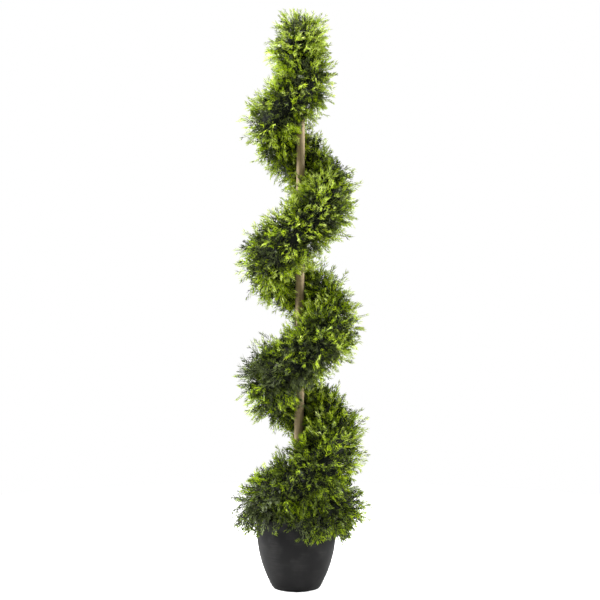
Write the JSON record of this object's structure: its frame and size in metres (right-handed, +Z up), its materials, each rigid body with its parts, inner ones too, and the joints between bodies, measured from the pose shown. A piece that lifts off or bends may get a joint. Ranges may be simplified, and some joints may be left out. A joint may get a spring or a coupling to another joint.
{
  "type": "artificial spiral topiary",
  "caption": "Artificial topiary: a garland of cedar-like sprays winds up a slender wooden trunk that stands in a tapered, round-bellied pot.",
  "frame": {"origin": "middle of the pot's flat underside", "axes": "+Z up along the trunk, +X to the right and -Y towards the viewer in the front view"},
  "size_m": [0.3666, 0.3675, 1.4998],
  "materials": {
    "pot": "matt charcoal with a dusty, mottled bloom",
    "ballast": "rough dark cast filling",
    "trunk": "debarked pale brown wood with fine upright grain",
    "foliage": "moulded sprays from dark blue-green to bright lime"
  },
  "bodies": {
    "root": {"pot": "pot", "ballast": "ballast", "trunk": "trunk", "foliage_01": "foliage", "foliage_02": "foliage", "foliage_03": "foliage", "foliage_04": "foliage", "foliage_05": "foliage", "foliage_06": "foliage", "foliage_07": "foliage", "foliage_08": "foliage", "foliage_09": "foliage", "foliage_10": "foliage", "foliage_11": "foliage", "foliage_12": "foliage", "foliage_13": "foliage"}
  },
  "joints": []
}
